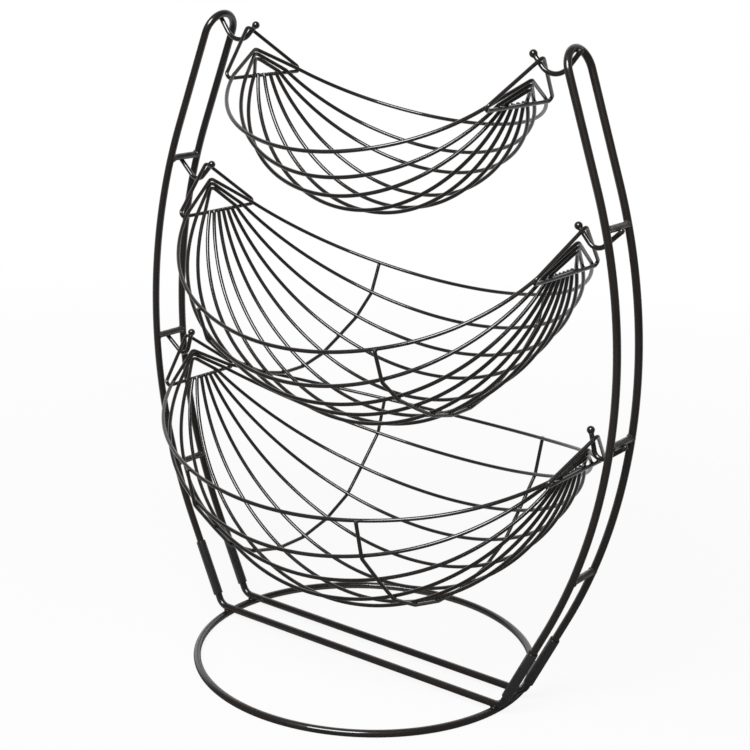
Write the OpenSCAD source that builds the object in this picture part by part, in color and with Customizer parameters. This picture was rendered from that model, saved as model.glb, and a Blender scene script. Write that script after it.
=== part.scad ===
// Hanging fruit basket: a wire stand with three hammock-shaped wire baskets hung one above another.
// +X is the stand's right side, -Y its front. The base ring stands on z = 0, centred on the origin.

/* [Wire] */
// Diameter of the wire of the base and the side frames
stand_wire = 6; // [5:0.1:7]
// Diameter of the short rungs between the legs
rung_wire = 5.5; // [4.5:0.1:6.5]
// Diameter of the hook wire
hook_wire = 3.8; // [3.2:0.1:4.4]
// Diameter of the wire of the baskets and their bails
basket_wire = 3; // [2.6:0.1:3.2]
// How deep two crossing wires are welded into each other
weld_sink = 0.15; // [0.05:0.05:0.3]
// Clearance between a rung's coped end and the round leg
cope_gap = 0.03; // [0.02:0.01:0.1]

/* [Base] */
// Radius of the ring on its centre line
ring_radius = 140; // [120:1:160]
// Depth of the flat under the ring, on which it stands
ring_flat = 0.2; // [0.1:0.05:0.5]
// Distance between the front and rear legs, centre to centre
leg_gap = 32.4; // [26:0.1:40]
// Bend radius of the base wires where they turn up
base_bend = 10; // [8:0.5:14]

/* [Sleeves] */
// Distance of a sleeve's lower end outside the ring's centre line
sleeve_out = 9.9; // [7:0.1:15]
// Height of a sleeve's lower end
sleeve_z = 18; // [16:0.5:22]
// Length of a sleeve
sleeve_length = 49; // [40:1:60]
// Wall of a sleeve
sleeve_wall = 0.95; // [0.6:0.05:1.5]
// Clearance around a leg in its sleeve
slip_clearance = 0.1; // [0.05:0.05:0.3]
// Length of the leg inside its sleeve
leg_insert = 25; // [15:1:32]

/* [Side frames] */
// Lean of the legs' lower ends away from the middle
lower_lean = 25.8; // [24:0.1:28]
// Straight run from a sleeve's lower end to the start of the bow
lower_run = 70.5; // [65:0.5:80]
// Radius of the bow on its centre line
bow_radius = 440; // [420:5:460]
// Lean of the legs' upper ends towards the middle
upper_lean = 20.2; // [18:0.1:22]
// Straight run from the end of the bow to the crown
upper_run = 98.5; // [85:0.5:110]
// Heights of the upper, middle and lower rung
rung_z = [396.2, 239.5, 128]; // [100:0.1:410]

/* [Hooks: top, middle, lower] */
// Fall of the outer arm below level
hook_fall = [53.5, 44, 37.5]; // [35:0.5:60]
// Length of the outer arm from its weld to the corner
hook_arm = [30.9, 25.4, 27.1]; // [24:0.1:34]
// Bend radius at the bottom
hook_bend = [14.5, 9, 6.5]; // [5:0.5:15]
// Rise of the inner arm above level
hook_rise = [47.5, 48, 75]; // [40:1:80]
// Length of the inner arm from the corner to the ball's centre
hook_reach = [28.4, 23.8, 25.5]; // [22:0.1:32]
// Distance from the ball's centre to where the bail hangs
hook_seat = [8.8, 6.5, 10]; // [6:0.1:11]
// End of the outer arm past its weld
hook_tail = 2; // [1:0.5:4]
// Diameter of the ball on a hook's tip
ball_d = 6.2; // [5.6:0.1:7]
// Depth of the hook wire in its ball
ball_socket = 2; // [1:0.1:2.5]

/* [Bails] */
// Swing of a basket to either side
swing = 30; // [10:1:30]
// Clearance between a bail and its hook over the whole swing
seat_clearance = 0.35; // [0.3:0.05:0.6]
// Bend radius of a bail's top
bail_top_bend = 4.2; // [4:0.1:6]
// Bend radius of a bail's lower corners
bail_corner_bend = 3; // [2.5:0.1:5]
// Distance from the hook seats inwards to the end bars: top, middle, lower
bar_inset = [15.8, 12.1, 13.9]; // [10:0.1:18]
// Drop from the hook seats to the end bars: top, middle, lower
bail_drop = [31.8, 32.7, 27.4]; // [25:0.1:36]
// Straight run of the end bars past the rim: top, middle, lower
bar_past_rim = [1.5, 1, 2.5]; // [0:0.5:5]

/* [Loops] */
// Half angle of the wide arc in the middle of every basket wire
belly_angle = 30; // [26:1:34]
// Straight end of every basket wire where it crosses the bar
end_run = 3; // [2.5:0.5:5]
// How far a wire runs past its weld on the end bar
bar_lead = 1.2; // [0.8:0.1:2]
// Bend radius of a loop where it crosses the bar
crossing_bend = 4; // [3:0.5:5]
// Bend radius of a loop's peak
peak_bend = 5; // [4:0.5:6]
// Space between the stacked peaks
peak_space = 0.1; // [0.1:0.1:1]
// Rise from the bar crossing to the highest peak: top, middle, lower
peak_rise = [16.9, 23.1, 18.4]; // [14:0.1:25]
// Outward lean of the peaks: top, middle, lower
peak_lean = [34, 24, 29.5]; // [20:0.5:36]

/* [Top basket] */
// Where the rim, second and third loop cross a bar, from the middle
top_feet = [39, 24, 15]; // [12:0.5:45]
// How far out the three loops reach at mid-length
top_out = [109, 87.5, 76]; // [70:0.5:115]
// How far the three loops hang below the crossings at mid-length
top_sag = [37, 58, 73]; // [30:0.5:80]
// Steepness of the three loops at their ends
top_steep = [68.5, 72.5, 76.5]; // [62:0.5:80]
// Ribs on each side of the middle
top_ribs = 2; // [1:1:3]
// Spacing of the ribs along the bar
top_rib_pitch = 7; // [5:0.1:8]
// Angle between neighbouring ribs
top_rib_fan = 14.5; // [12:0.1:16]
// Depth of the ribs nearest the middle, in their own plane
top_rib_depth = 94.5; // [88:0.5:98]
// Gain in depth from the outer ribs to the middle, by the square of a rib's number
top_rib_gain = 0; // [0:0.1:2]
// Steepness of the ribs at their ends
top_rib_steep = 74; // [70:0.5:78]

/* [Middle basket] */
// Where the rim, second and third loop cross a bar, from the middle
middle_feet = [40, 27.5, 19]; // [16:0.5:45]
// How far out the three loops reach at mid-length
middle_out = [128.5, 118.5, 95]; // [90:0.5:135]
// How far the three loops hang below the crossings at mid-length
middle_sag = [62, 90.5, 110]; // [55:0.5:115]
// Steepness of the three loops at their ends
middle_steep = [70, 75.5, 78.5]; // [65:0.5:80]
// Ribs on each side of the middle
middle_ribs = 3; // [2:1:3]
// Spacing of the ribs along the bar
middle_rib_pitch = 5.3; // [4.5:0.1:6]
// Angle between neighbouring ribs
middle_rib_fan = 9.5; // [8:0.1:10.5]
// Depth of the ribs nearest the middle, in their own plane
middle_rib_depth = 145.8; // [138:0.1:150]
// Gain in depth from the outer ribs to the middle, by the square of a rib's number
middle_rib_gain = 1.6; // [0:0.1:2]
// Steepness of the ribs at their ends
middle_rib_steep = 78.5; // [75:0.5:80]

/* [Lower basket] */
// Where the rim, second and third loop cross a bar, from the middle
lower_feet = [35.5, 27.5, 18]; // [16:0.5:42]
// How far out the three loops reach at mid-length
lower_out = [141.5, 132.5, 106.5]; // [100:0.5:148]
// How far the three loops hang below the crossings at mid-length
lower_sag = [35, 69, 97.5]; // [30:0.5:102]
// Steepness of the three loops at their ends
lower_steep = [65, 70, 74]; // [62:0.5:77]
// Ribs on each side of the middle
lower_ribs = 3; // [2:1:3]
// Spacing of the ribs along the bar
lower_rib_pitch = 5.2; // [4.5:0.1:6]
// Angle between neighbouring ribs
lower_rib_fan = 12.4; // [11:0.1:13.5]
// Depth of the ribs nearest the middle, in their own plane
lower_rib_depth = 147.2; // [140:0.1:152]
// Gain in depth from the outer ribs to the middle, by the square of a rib's number
lower_rib_gain = 1; // [0:0.1:2]
// Steepness of the ribs at their ends
lower_rib_steep = 74; // [71:0.5:77]

/* [Cross wires] */
// Distance of the cross wires from the middle of the basket: middle, lower; the top basket has none
cross_x = [84, 82.5]; // [70:0.5:95]
// Bend radius where a cross wire turns round the basket wires
cross_bend = 8; // [5:0.5:12]
// End of a cross wire past the rim
cross_lead = 1.5; // [1:0.1:3]

/* [Hidden] */
$fn = 48;

TOP = 0;
MIDDLE = 1;
LOWER = 2;
FRONT = -1;
REAR = 1;

black = [0.09, 0.085, 0.08];
// Straight runs reach this far into the bends at their ends
lap = 0.2;
// Straight runs are this much thinner in radius than the bends, so their ends lie inside
step = 0.01;
// The arcs of a basket wire are this much tighter than their tangents ask, so a short straight lies between
ease = 0.5;
// The same for the crown of a side frame
crown_ease = 0.1;
// How far a cutter runs past what it cuts
overrun = 1;
// Loops of a basket: the rim, the second and the third
LOOPS = 3;

feet = [top_feet, middle_feet, lower_feet];
out = [top_out, middle_out, lower_out];
sag = [top_sag, middle_sag, lower_sag];
steep = [top_steep, middle_steep, lower_steep];
ribs = [top_ribs, middle_ribs, lower_ribs];
rib_pitch = [top_rib_pitch, middle_rib_pitch, lower_rib_pitch];
rib_fan = [top_rib_fan, middle_rib_fan, lower_rib_fan];
rib_depth = [top_rib_depth, middle_rib_depth, lower_rib_depth];
rib_gain = [top_rib_gain, middle_rib_gain, lower_rib_gain];
rib_steep = [top_rib_steep, middle_rib_steep, lower_rib_steep];

// Vectors
function unit(v) = v / norm(v);
function turn(u, w) = acos(max(-1, min(1, unit(u) * unit(w))));
function mirror_x(p) = [-p[0], p[1], p[2]];
function mirror_y(p) = [p[0], -p[1], p[2]];

// Base
ring_z = stand_wire / 2 - ring_flat;
base_wire_z = ring_z + stand_wire - weld_sink;
leg_y = leg_gap / 2;
sleeve_x = ring_radius + sleeve_out;
leg_up = [sin(lower_lean), 0, cos(lower_lean)];
sleeve_foot = [sleeve_x, leg_y, sleeve_z];
leg_foot = sleeve_foot + (sleeve_length - leg_insert) * leg_up;
base_corner = sleeve_foot - (sleeve_z - base_wire_z) / cos(lower_lean) * leg_up;

// Side frames: a straight, a bow and a straight
bow_start = sleeve_foot + lower_run * leg_up;
bow_centre = bow_start - bow_radius * [cos(lower_lean), 0, -sin(lower_lean)];
bow_end = bow_centre + bow_radius * [cos(upper_lean), 0, sin(upper_lean)];
bow_tangent = bow_radius * tan((lower_lean + upper_lean) / 2);
crown_up = [-sin(upper_lean), 0, cos(upper_lean)];
crown = bow_end + upper_run * crown_up;
// Bend of the crown, a little tighter than half the leg gap for a short straight between its quarters
crown_bend = leg_gap / 2 - crown_ease;

// Where a leg's centre line is at a height on the bow, the lean there, and the middle of a rung
function bow_angle(z) = asin((z - bow_centre[2]) / bow_radius);
function leg_x(z) = bow_centre[0] + bow_radius * cos(bow_angle(z));

// Weld point of each hook: the crown's middle, the upper rung and the middle rung
function hook_root(t) = t == TOP ? [crown[0], 0, crown[2]]
    : let (z = rung_z[t - 1]) [leg_x(z), 0, z];
function root_wire(t) = t == TOP ? stand_wire : rung_wire;
function arm_out(t) = [cos(hook_fall[t]), 0, sin(hook_fall[t])];
function hook_weld(t) = hook_root(t)
    + ((root_wire(t) + hook_wire) / 2 - weld_sink) * [sin(hook_fall[t]), 0, -cos(hook_fall[t])];
function hook_corner(t) = hook_weld(t) - hook_arm[t] * arm_out(t);
function tip_up(t) = [-cos(hook_rise[t]), 0, sin(hook_rise[t])];
function ball_centre(t) = hook_corner(t) + hook_reach[t] * tip_up(t);
function seat(t) = ball_centre(t) - hook_seat[t] * tip_up(t);

// Bails: the end bar, the way up to the seat and the top that clears the hook over the whole swing
function bar(t) = [seat(t)[0] - bar_inset[t], 0, seat(t)[2] - bail_drop[t]];
function bail_up(t) = unit(seat(t) - bar(t));
function bail_face(t) = let (u = bail_up(t)) [u[2], 0, -u[0]];
function swung_face(t) = let (n = bail_face(t)) [n[0], n[2] * sin(swing), n[2] * cos(swing)];
function bail_top(t) = let (gap = (hook_wire + basket_wire) / 2 + seat_clearance)
    max(bail_top_bend, gap / abs(swung_face(t) * tip_up(t)));

// A half wire leaves its crossing at (x, y, z) in a plane tilted about X.
// In that plane it has a straight end, a side arc and half of the belly arc.
contact = basket_wire - weld_sink;
function end_slope(tilt, rise) = atan2(cos(tilt) * sin(rise), cos(rise));
function crossing(t, y, tilt, rise) = let (s = end_slope(tilt, rise), b = bar(t))
    [b[0] - contact * sin(s) + bar_lead * cos(s), y, b[2] + contact * cos(s) + bar_lead * sin(s)];
// Half wire: crossing, tilt, depth in its plane, steepness at its end
function half_wire(t, y, tilt, depth, rise) = [crossing(t, y, tilt, rise), tilt, depth, rise];
function loop_wire(t, j) = let (reach = out[t][j] - feet[t][j], drop = sag[t][j])
    half_wire(t, feet[t][j], atan2(reach, drop), norm([reach, drop]), steep[t][j]);
function rib_wire(t, i) = let (k = i + 0.5)
    half_wire(t, k * rib_pitch[t], k * rib_fan[t], rib_depth[t] + rib_gain[t] * (0.25 - k * k), rib_steep[t]);

// Radii of the belly arc and the side arc of a half wire
function arc_radii(w) =
    let (x = w[0][0] - end_run * cos(w[3]),
         d = w[2] - end_run * sin(w[3]),
         a = sin(belly_angle),
         b = sin(w[3]) - sin(belly_angle),
         c = 1 - cos(belly_angle),
         e = cos(belly_angle) - cos(w[3]),
         det = a * e - b * c)
    [(x * e - b * d) / det, (a * d - c * x) / det];
// Corners of the tangents in the wire's plane, as (x, depth)
function side_corner(w) = let (l = end_run + arc_radii(w)[1] * tan((w[3] - belly_angle) / 2))
    [w[0][0] - l * cos(w[3]), l * sin(w[3])];
function belly_corner(w) = [0, w[2] + arc_radii(w)[0] * (1 / cos(belly_angle) - 1)];
// A point of the plane in space, on the front or the rear half
function in_space(w, p, side) = [p[0], side * (w[0][1] + p[1] * sin(w[1])), w[0][2] - p[1] * cos(w[1])];

// Depth and slope of a half wire at a distance x from the middle of the basket
function on_side_arc(w, x) =
    let (r = arc_radii(w)[1] - ease,
         l = end_run + (arc_radii(w)[1] - r) * tan((w[3] - belly_angle) / 2),
         cx = w[0][0] - l * cos(w[3]) - r * sin(w[3]),
         cd = l * sin(w[3]) - r * cos(w[3]),
         h = sqrt(r * r - (x - cx) * (x - cx)))
    [cd + h, (x - cx) / h];
function on_belly(w, x) =
    let (r = arc_radii(w)[0] - ease,
         cd = belly_corner(w)[1] - r / cos(belly_angle),
         h = sqrt(r * r - x * x))
    [cd + h, x / h];
function on_wire(w, x) = x < (arc_radii(w)[0] - ease) * sin(belly_angle) ? on_belly(w, x) : on_side_arc(w, x);

// Path of a closed loop: right peak, front half from right to left, left peak, rear half back
function half_path(w, side) = [
    in_space(w, [w[0][0], 0], side),
    in_space(w, side_corner(w), side),
    in_space(w, belly_corner(w), side),
    mirror_x(in_space(w, side_corner(w), side)),
    mirror_x(in_space(w, [w[0][0], 0], side))
];
function reversed(p) = [for (i = [len(p) - 1 : -1 : 0]) p[i]];
function half_bends(w) = let (r = arc_radii(w)) [crossing_bend, r[1] - ease, r[0] - ease, r[1] - ease, crossing_bend];
// The peaks stack on a line that leans outwards from the rim's crossing
function peak(t, j) =
    let (c = loop_wire(t, 0)[0],
         h = peak_rise[t] - j * (basket_wire + peak_space))
    [c[0] + peak_rise[t] * tan(peak_lean[t]), 0, c[2] + h];
function loop_path(t, j) = let (w = loop_wire(t, j), p = peak(t, j))
    concat([p], half_path(w, FRONT), [mirror_x(p)], reversed(half_path(w, REAR)));
function loop_bends(t, j) = let (b = half_bends(loop_wire(t, j)))
    concat([peak_bend], b, [peak_bend], b);

// Cross wire: from wire to wire on the outside of the basket, in a plane across it
function section_wires(t) = concat(
    [for (j = [0 : LOOPS - 1]) loop_wire(t, j)],
    [for (i = [ribs[t] - 1 : -1 : 0]) rib_wire(t, i)]
);
function section_point(w, x) = let (s = on_wire(w, x)) in_space(w, [x, s[0]], REAR);
function section_points(t) = [for (w = section_wires(t)) section_point(w, cross_x[t - 1])];
// Way along the cross wire at wire k, from the rim towards the middle
function section_way(p, k) =
    k == 0 ? unit(p[1] - p[0])
    : let (next = k == len(p) - 1 ? mirror_y(p[k]) : p[k + 1])
        unit(unit(p[k] - p[k - 1]) + unit(next - p[k]));
function cross_seat(t, k) =
    let (p = section_points(t),
         w = section_wires(t)[k],
         way = section_way(p, k),
         face = [0, -way[2], way[1]],
         depth_way = [0, sin(w[1]), -cos(w[1])],
         outward = face * depth_way > 0 ? face : -face,
         lean = on_wire(w, cross_x[t - 1])[1] * (depth_way * outward))
    p[k] + contact * sqrt(1 + lean * lean) * outward;
function cross_half(t) =
    let (seats = [for (k = [0 : LOOPS + ribs[t] - 1]) cross_seat(t, k)],
         tip = seats[0] + cross_lead * unit(seats[0] - seats[1]))
    concat([tip], [for (k = [1 : len(seats) - 1]) seats[k]]);
function cross_path(t) = concat(cross_half(t), reversed([for (p = cross_half(t)) mirror_y(p)]));

// Wire building
module placed(x, y, z, origin) {
    multmatrix([
        [x[0], y[0], z[0], origin[0]],
        [x[1], y[1], z[1], origin[1]],
        [x[2], y[2], z[2], origin[2]]
    ]) children();
}

module rod(a, b, d) {
    z = unit(b - a);
    steep_way = abs(z[2]) > 0.9;
    x = unit(cross(steep_way ? [1, 0, 0] : [0, 0, 1], z));
    placed(x, cross(z, x), z, a) cylinder(d = d, h = norm(b - a));
}

module bend(before, corner, after, r, d) {
    u = unit(corner - before);
    w = unit(after - corner);
    inward = unit(w - (w * u) * u);
    centre = corner - r * tan(turn(u, w) / 2) * u + r * inward;
    placed(-inward, u, cross(-inward, u), centre)
        rotate_extrude(angle = turn(u, w)) translate([r, 0]) circle(d = d);
}

function trim(p, r, i) = let (n = len(p))
    r[i] * tan(turn(p[i] - p[(i + n - 1) % n], p[(i + 1) % n] - p[i]) / 2);

// A wire along points, with a bend of radius r[i] at point i; an open wire has none at its two ends
module wire(p, r, d, closed = false) {
    n = len(p);
    for (i = [0 : n - (closed ? 1 : 2)]) {
        j = (i + 1) % n;
        way = unit(p[j] - p[i]);
        bent_start = closed || i > 0;
        bent_end = closed || j < n - 1;
        rod(
            p[i] + (bent_start ? trim(p, r, i) - lap : 0) * way,
            p[j] - (bent_end ? trim(p, r, j) - lap : 0) * way,
            d - 2 * step
        );
        if (bent_end) bend(p[i], p[j], p[(j + 1) % n], r[j], d);
    }
}

// Base
module base_ring() {
    color(black)
    difference() {
        translate([0, 0, ring_z]) rotate_extrude() translate([ring_radius, 0]) circle(d = stand_wire);
        translate([0, 0, -stand_wire]) cylinder(r = ring_radius + stand_wire, h = stand_wire);
    }
}

module base_wire(side) {
    turn_up = [base_corner[0], side * leg_y, base_wire_z];
    end = [leg_foot[0], side * leg_y, leg_foot[2]];
    color(black)
    wire([mirror_x(end), mirror_x(turn_up), turn_up, end], [0, base_bend, base_bend, 0], stand_wire);
}

// The lower half grips the base wire and the upper half takes the leg with a little play
module sleeve(x_side, y_side) {
    outer = stand_wire + 2 * slip_clearance + 2 * sleeve_wall;
    grip = sleeve_length - leg_insert;
    color(black)
    translate([x_side * sleeve_foot[0], y_side * sleeve_foot[1], sleeve_foot[2]])
    rotate([0, x_side * lower_lean, 0])
    difference() {
        cylinder(d = outer, h = sleeve_length);
        translate([0, 0, -overrun]) cylinder(d = stand_wire, h = grip + 2 * overrun);
        translate([0, 0, grip]) cylinder(d = stand_wire + 2 * slip_clearance, h = leg_insert + overrun);
    }
}

module side_frame() {
    bow_corner = bow_start + bow_tangent * leg_up;
    rear = [leg_foot, bow_corner, crown];
    color(black)
    wire(
        concat([for (p = rear) mirror_y(p)], reversed(rear)),
        [0, bow_radius, crown_bend, crown_bend, bow_radius, 0],
        stand_wire
    );
}

// A rung's ends are coped to fit the round legs
module rung(k) {
    z = rung_z[k];
    cutter = 3 * rung_wire;
    color(black)
    translate([leg_x(z), 0, z])
    difference() {
        rotate([90, 0, 0]) cylinder(d = rung_wire, h = leg_gap, center = true);
        for (side = [FRONT, REAR])
            translate([0, side * leg_y, 0]) rotate([0, -bow_angle(z), 0])
                cylinder(d = stand_wire + 2 * cope_gap, h = cutter, center = true);
    }
}

module hook(t) {
    tail = hook_weld(t) + hook_tail * arm_out(t);
    end = ball_centre(t) - (ball_d / 2 - ball_socket) * tip_up(t);
    color(black)
    wire([tail, hook_corner(t), end], [0, hook_bend[t], 0], hook_wire);
}

module ball(t) {
    color(black)
    difference() {
        translate(ball_centre(t)) sphere(d = ball_d);
        rod(hook_corner(t), ball_centre(t) - (ball_d / 2 - ball_socket) * tip_up(t), hook_wire);
    }
}

// A bail is a triangle of wire: the end bar below and a narrow round top over the hook
module bail(t) {
    up = bail_up(t);
    foot_y = feet[t][0] + bar_past_rim[t];
    top_v = norm(seat(t) - bar(t)) + bail_top(t) - bail_top_bend;
    // Outward normal of the slanting side, tangent to the top bend and the corner bend
    across = [-foot_y, top_v - bail_corner_bend];
    normal_angle = atan2(across[1], across[0]) - acos((bail_corner_bend - bail_top_bend) / norm(across));
    reach = foot_y * cos(normal_angle) + bail_corner_bend * sin(normal_angle) + bail_corner_bend;
    apex = bar(t) + reach / sin(normal_angle) * up;
    corner_y = reach / cos(normal_angle);
    color(black)
    wire(
        [apex, bar(t) + [0, FRONT * corner_y, 0], bar(t) + [0, REAR * corner_y, 0]],
        [bail_top_bend, bail_corner_bend, bail_corner_bend],
        basket_wire, closed = true
    );
}

module basket_loop(t, j) {
    color(black)
    wire(loop_path(t, j), loop_bends(t, j), basket_wire, closed = true);
}

module basket_ribs(t) {
    color(black)
    for (i = [0 : ribs[t] - 1], side = [FRONT, REAR]) {
        w = rib_wire(t, i);
        b = half_bends(w);
        wire(half_path(w, side), [0, b[1], b[2], b[3], 0], basket_wire);
    }
}

module cross_wires(t) {
    path = cross_path(t);
    color(black)
    for (side = [-1, 1])
        wire([for (p = path) [side * p[0], p[1], p[2]]], [for (p = path) cross_bend], basket_wire);
}

module on_left() {
    mirror([1, 0, 0]) children();
}

base_ring();
base_wire(FRONT);  // base_wire_front
base_wire(REAR);  // base_wire_rear
sleeve(-1, FRONT);  // sleeve_left_front
sleeve(-1, REAR);  // sleeve_left_rear
sleeve(1, FRONT);  // sleeve_right_front
sleeve(1, REAR);  // sleeve_right_rear
on_left() side_frame();  // side_frame_left
side_frame();  // side_frame_right
on_left() rung(0);  // rung_upper_left
on_left() rung(1);  // rung_middle_left
on_left() rung(2);  // rung_lower_left
rung(0);  // rung_upper_right
rung(1);  // rung_middle_right
rung(2);  // rung_lower_right
on_left() hook(TOP);  // hook_top_left
on_left() hook(MIDDLE);  // hook_middle_left
on_left() hook(LOWER);  // hook_lower_left
hook(TOP);  // hook_top_right
hook(MIDDLE);  // hook_middle_right
hook(LOWER);  // hook_lower_right
on_left() ball(TOP);  // ball_top_left
on_left() ball(MIDDLE);  // ball_middle_left
on_left() ball(LOWER);  // ball_lower_left
ball(TOP);  // ball_top_right
ball(MIDDLE);  // ball_middle_right
ball(LOWER);  // ball_lower_right
on_left() bail(TOP);  // top_bail_left
bail(TOP);  // top_bail_right
basket_loop(TOP, 0);  // top_rim
basket_loop(TOP, 1);  // top_second_loop
basket_loop(TOP, 2);  // top_third_loop
basket_ribs(TOP);  // top_ribs_set
on_left() bail(MIDDLE);  // middle_bail_left
bail(MIDDLE);  // middle_bail_right
basket_loop(MIDDLE, 0);  // middle_rim
basket_loop(MIDDLE, 1);  // middle_second_loop
basket_loop(MIDDLE, 2);  // middle_third_loop
basket_ribs(MIDDLE);  // middle_ribs_set
cross_wires(MIDDLE);  // middle_cross_wires
on_left() bail(LOWER);  // lower_bail_left
bail(LOWER);  // lower_bail_right
basket_loop(LOWER, 0);  // lower_rim
basket_loop(LOWER, 1);  // lower_second_loop
basket_loop(LOWER, 2);  // lower_third_loop
basket_ribs(LOWER);  // lower_ribs_set
cross_wires(LOWER);  // lower_cross_wires
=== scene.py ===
"""Wire stand with three hanging wire baskets: the coated wires, their welds and the studio round them.

Lengths are in metres in the model's frame. +X is the stand's right side, -Y its front, and z = 0 the table.
"""

import bpy
import numpy as np
from mathutils import Matrix


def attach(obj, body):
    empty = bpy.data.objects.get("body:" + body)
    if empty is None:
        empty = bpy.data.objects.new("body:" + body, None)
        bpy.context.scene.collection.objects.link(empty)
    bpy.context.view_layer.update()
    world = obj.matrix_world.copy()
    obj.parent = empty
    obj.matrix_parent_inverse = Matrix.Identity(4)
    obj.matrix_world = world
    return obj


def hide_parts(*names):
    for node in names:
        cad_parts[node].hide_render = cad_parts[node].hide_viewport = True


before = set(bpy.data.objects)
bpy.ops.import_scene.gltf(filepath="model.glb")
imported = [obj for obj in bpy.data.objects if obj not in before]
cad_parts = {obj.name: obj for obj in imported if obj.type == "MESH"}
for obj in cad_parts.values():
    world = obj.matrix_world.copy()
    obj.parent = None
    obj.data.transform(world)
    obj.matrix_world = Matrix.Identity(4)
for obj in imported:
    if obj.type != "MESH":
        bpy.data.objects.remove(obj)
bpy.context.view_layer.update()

mm = 0.001

# Wires
STAND_WIRE = 6 * mm
RUNG_WIRE = 5.5 * mm
HOOK_WIRE = 3.8 * mm
BASKET_WIRE = 3 * mm
WELD_SINK = 0.15 * mm
# Rounding of the coating at a cut end
CUT_EDGE = 0.45 * mm

# Base and sleeves
RING_RADIUS = 140 * mm
RING_FLAT = 0.2 * mm
LEG_GAP = 32.4 * mm
BASE_BEND = 10 * mm
SLEEVE_FOOT = np.array([149.9, 16.2, 18]) * mm
SLEEVE_LENGTH = 49 * mm
SLEEVE_WALL = 0.95 * mm
SLIP = 0.1 * mm
LEG_INSERT = 25 * mm

# Side frames
LOWER_LEAN = np.radians(25.8)
LOWER_RUN = 70.5 * mm
BOW_RADIUS = 440 * mm
UPPER_LEAN = np.radians(20.2)
UPPER_RUN = 98.5 * mm
CROWN_BEND = 16.1 * mm
RUNG_HEIGHTS = {"upper": 396.2 * mm, "middle": 239.5 * mm, "lower": 128 * mm}
# Nuggets of weld round a rung's end
RUNG_NUGGETS = 7

# A hook's ball and the depth of the hook wire in it
BALL = 6.2 * mm
BALL_SOCKET = 2 * mm
HOOK_TAIL = 2 * mm

# Baskets
SWING = np.radians(30)
SEAT_CLEARANCE = 0.35 * mm
BAIL_TOP_BEND = 4.2 * mm
BAIL_CORNER_BEND = 3 * mm
BELLY_ANGLE = np.radians(30)
END_RUN = 3 * mm
BAR_LEAD = 1.2 * mm
CROSSING_BEND = 4 * mm
PEAK_BEND = 5 * mm
PEAK_SPACE = 0.1 * mm
CROSS_BEND = 8 * mm
CROSS_LEAD = 1.5 * mm
ARC_EASE = 0.5 * mm
CONTACT = BASKET_WIRE - WELD_SINK

# How finely wires are drawn
AROUND = 20
ARC_STEP = np.radians(7)
LONGEST_STEP = 5 * mm

FRONT = -1
REAR = 1
LEFT = -1
RIGHT = 1


def unit(v):
    """v divided by its length."""
    v = np.asarray(v, float)
    return v / np.linalg.norm(v, axis=-1, keepdims=True)


def flipped_x(p):
    """p on the other side, left for right."""
    return np.asarray(p) * [-1, 1, 1]


def flipped_y(p):
    """p on the other side, front for rear."""
    return np.asarray(p) * [1, -1, 1]


class Stand:
    """Lines of the base, the side frames and their rungs, for the right side and the rear."""

    ring_z = STAND_WIRE / 2 - RING_FLAT
    base_z = ring_z + STAND_WIRE - WELD_SINK
    leg_y = LEG_GAP / 2
    leg_up = np.array([np.sin(LOWER_LEAN), 0, np.cos(LOWER_LEAN)])
    leg_foot = SLEEVE_FOOT + (SLEEVE_LENGTH - LEG_INSERT) * leg_up
    base_corner = SLEEVE_FOOT - (SLEEVE_FOOT[2] - base_z) / leg_up[2] * leg_up
    bow_start = SLEEVE_FOOT + LOWER_RUN * leg_up
    bow_centre = bow_start - BOW_RADIUS * np.array([np.cos(LOWER_LEAN), 0, -np.sin(LOWER_LEAN)])
    bow_end = bow_centre + BOW_RADIUS * np.array([np.cos(UPPER_LEAN), 0, np.sin(UPPER_LEAN)])
    bow_corner = bow_start + BOW_RADIUS * np.tan((LOWER_LEAN + UPPER_LEAN) / 2) * leg_up
    crown = bow_end + UPPER_RUN * np.array([-np.sin(UPPER_LEAN), 0, np.cos(UPPER_LEAN)])

    @classmethod
    def lean(cls, z):
        """Angle of the bow's radius at height z, from asin((z - centre) / radius)."""
        return np.arcsin((z - cls.bow_centre[2]) / BOW_RADIUS)

    @classmethod
    def rung_centre(cls, z):
        """Middle of the rung at height z."""
        return np.array([cls.bow_centre[0] + BOW_RADIUS * np.cos(cls.lean(z)), 0, z])


class Hook:
    """A V of wire welded under a cross wire at root, with an outer arm that falls inwards and an inner arm that rises."""

    def __init__(self, root, root_wire, fall, arm, bend, rise, reach, seat):
        fall = np.radians(fall)
        rise = np.radians(rise)
        out = np.array([np.cos(fall), 0, np.sin(fall)])
        below = np.array([np.sin(fall), 0, -np.cos(fall)])
        self.bend = bend * mm
        self.tip_up = np.array([-np.cos(rise), 0, np.sin(rise)])
        self.weld = root + ((root_wire + HOOK_WIRE) / 2 - WELD_SINK) * below
        self.out = out
        self.below = below
        self.corner = self.weld - arm * mm * out
        self.tail = self.weld + HOOK_TAIL * out
        self.ball = self.corner + reach * mm * self.tip_up
        self.seat = self.ball - seat * mm * self.tip_up
        self.end = self.ball - (BALL / 2 - BALL_SOCKET) * self.tip_up


HOOKS = {
    "top": Hook(Stand.crown * [1, 0, 1], STAND_WIRE, 53.5, 30.9, 14.5, 47.5, 28.4, 8.8),
    "middle": Hook(Stand.rung_centre(RUNG_HEIGHTS["upper"]), RUNG_WIRE, 44, 25.4, 9, 48, 23.8, 6.5),
    "lower": Hook(Stand.rung_centre(RUNG_HEIGHTS["middle"]), RUNG_WIRE, 37.5, 27.1, 6.5, 75, 25.5, 10),
}


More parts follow.
